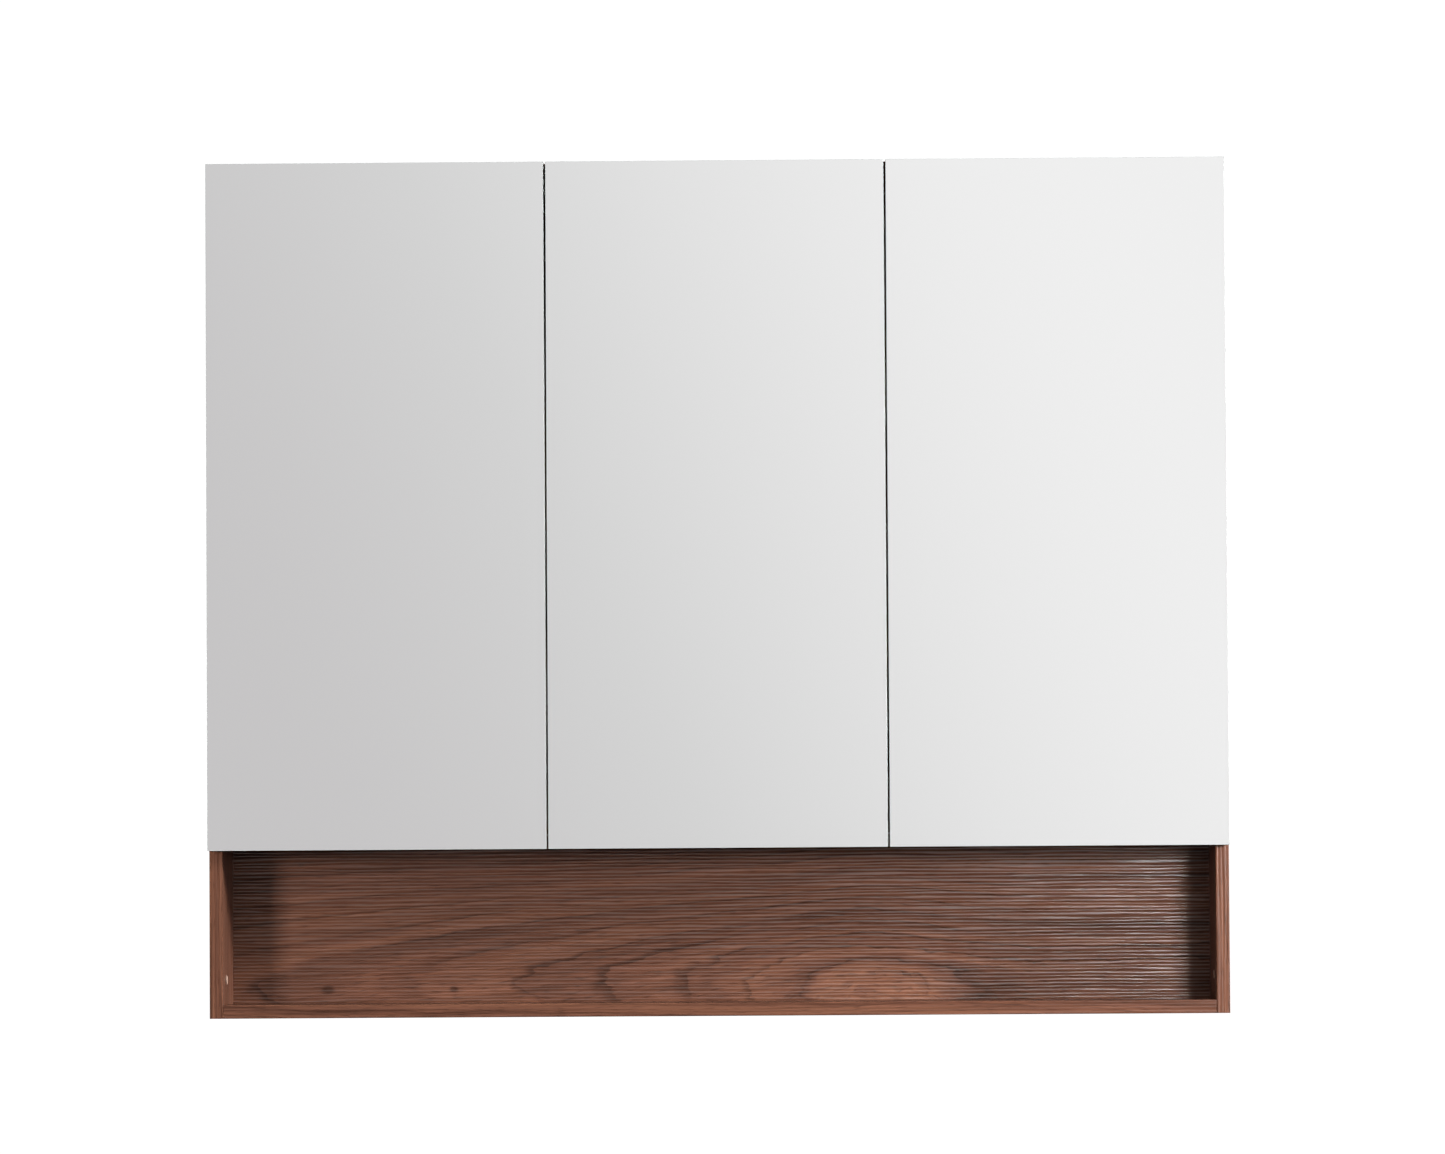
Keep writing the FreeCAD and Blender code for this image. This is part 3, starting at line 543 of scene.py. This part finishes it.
def floor_material():
    """Pale, slightly uneven studio floor that fades into the white behind it."""
    material, tree, shader = start_material("studio_floor")
    place = add(tree, "TexCoord").outputs["Object"]
    cloud = noise(tree, place, 3.0, 0.5, 1.2)
    put(tree, shader.inputs["Base Color"], mix_colours(tree, cloud, floor_dark, floor_light))
    shader.inputs["Roughness"].default_value = 0.8
    away = add(tree, "VectorMath", {0: place}, operation="LENGTH").outputs["Value"]
    seen = add(tree, "LightPath").outputs["Is Camera Ray"]
    far_glow = maths(tree, "MULTIPLY_ADD", seen, 0.55, 0.45)
    near_glow = maths(tree, "MULTIPLY_ADD", seen, 0.20, 0.38)
    fade = remap(tree, away, floor_fade[0], floor_fade[1], smooth=True)
    shader.inputs["Emission Color"].default_value = (1.0, 1.0, 1.0, 1.0)
    glow = add(tree, "Mix", {"Factor": fade, "A": near_glow, "B": far_glow}).outputs[0]
    put(tree, shader.inputs["Emission Strength"], glow)
    below = add(tree, "NewGeometry").outputs["Backfacing"]
    clear = add(tree, "BsdfTransparent").outputs[0]
    mixed = add(tree, "MixShader", {0: below, 1: shader.outputs["BSDF"], 2: clear}).outputs[0]
    tree.links.new(mixed, tree.nodes["Material Output"].inputs["Surface"])
    return material


def card_material():
    """The card that the mirrors look at: grey at the lower left, near white at the upper right."""
    material, tree, shader = start_material("reflection_card")
    tree.nodes.remove(shader)
    x, _, z = object_axes(tree)
    slant = maths(tree, "MULTIPLY_ADD", z, card_slant, x)
    fade = remap(tree, slant, -1.22, 1.18, smooth=True)
    colour = ramp(tree, fade, [(0.0, card_grey), (0.35, card_middle), (1.0, card_white)])
    glow = add(tree, "Emission", {"Color": colour, "Strength": 1.0})
    output = tree.nodes["Material Output"]
    tree.links.new(glow.outputs[0], output.inputs["Surface"])
    return material


def flag_material():
    """A dark card that keeps the low reflections off the wood."""
    material, _, shader = start_material("dark_flag")
    shader.inputs["Base Color"].default_value = (0.02, 0.02, 0.02, 1.0)
    shader.inputs["Roughness"].default_value = 0.9
    return material


def build_stage():
    """Floor below the cabinet, and the cards behind the camera."""
    floor_z = cad_box[0][2] - floor_drop
    half = floor_half
    floor = stage_plane("studio_floor", [
        (-half, -half, floor_z), (half, -half, floor_z), (half, half, floor_z), (-half, half, floor_z),
    ], floor_material())
    floor.visible_diffuse = False
    card = upright_plane("reflection_card", card_y, 3.0, -1.3, 2.6, card_material())
    flag = upright_plane("dark_flag", flag_y, 4.0, -1.5, flag_top, flag_material())
    for piece in (card, flag):
        piece.visible_camera = False
        piece.visible_diffuse = False
        piece.visible_shadow = False


def build_world():
    """White to the eye, pale in reflections and dim as a light."""
    world = bpy.data.worlds.new("studio")
    bpy.context.scene.world = world
    world.use_nodes = True
    tree = world.node_tree
    tree.nodes.clear()
    path = add(tree, "LightPath").outputs
    level = maths(tree, "MULTIPLY_ADD", path["Is Glossy Ray"], reflected_room, ambient)
    inputs = {"Factor": path["Is Camera Ray"], "A": level, "B": seen_white}
    level = add(tree, "Mix", inputs).outputs[0]
    background = add(tree, "Background", {"Color": (1.0, 1.0, 1.0, 1.0), "Strength": level})
    output = add(tree, "OutputWorld")
    tree.links.new(background.outputs[0], output.inputs["Surface"])


def area_light(name, place, target, size, power, spread):
    """A soft rectangular light aimed at a point."""
    data = bpy.data.lights.new(name, "AREA")
    data.shape = "RECTANGLE"
    data.size = size[0]
    data.size_y = size[1]
    data.energy = power
    data.spread = math.radians(spread)
    light = bpy.data.objects.new(name, data)
    light.location = place
    aim = Vector(target) - Vector(place)
    light.rotation_euler = aim.to_track_quat("-Z", "Y").to_euler()
    light.visible_camera = False
    bpy.context.scene.collection.objects.link(light)
    return light


def build_lights():
    """A low left light, a low right light, one from the upper right, and three behind."""
    left = area_light(
        "light_left", (-1.14, -2.0, -0.18), (-0.50, 0.0, -0.38), (0.30, 0.30), 2.95, 52)
    left.visible_glossy = False
    area_light("light_right", (0.80, -1.75, -0.21), (0.36, 0.0, -0.38), (0.24, 0.24), 3.1, 60)
    area_light("light_high", (2.35, -1.05, 0.33), (-0.2, 0.0, -0.38), (0.40, 0.40), 16.5, 60)
    area_light("light_rear_left", (-3.0, 1.4, 0.9), (0.0, 0.1, 0.0), (1.6, 1.6), 40.0, 120)
    area_light("light_rear_right", (3.0, 1.4, 0.9), (0.0, 0.1, 0.0), (1.6, 1.6), 40.0, 120)
    area_light("light_top", (0.0, 1.0, 2.6), (0.0, 0.1, 0.3), (2.0, 1.0), 45.0, 120)


def build_camera():
    """The camera, set straight on and a little low."""
    data = bpy.data.cameras.new("camera")
    data.sensor_width = sensor_width
    data.lens = camera_focal / view_width * sensor_width
    data.clip_end = camera_far
    camera = bpy.data.objects.new("camera", data)
    aim = Euler((math.pi / 2 + camera_pitch, 0.0, camera_yaw)).to_matrix()
    turn = aim @ Matrix.Rotation(camera_roll, 3, "Z")
    camera.matrix_world = Matrix.Translation(camera_place) @ turn.to_4x4()
    bpy.context.scene.collection.objects.link(camera)
    bpy.context.scene.camera = camera
    bpy.context.scene.view_settings.view_transform = "Standard"


dress_boards()
dress_bands()
dress_glass()
dress_hardware()
build_stage()
build_world()
build_lights()
build_camera()
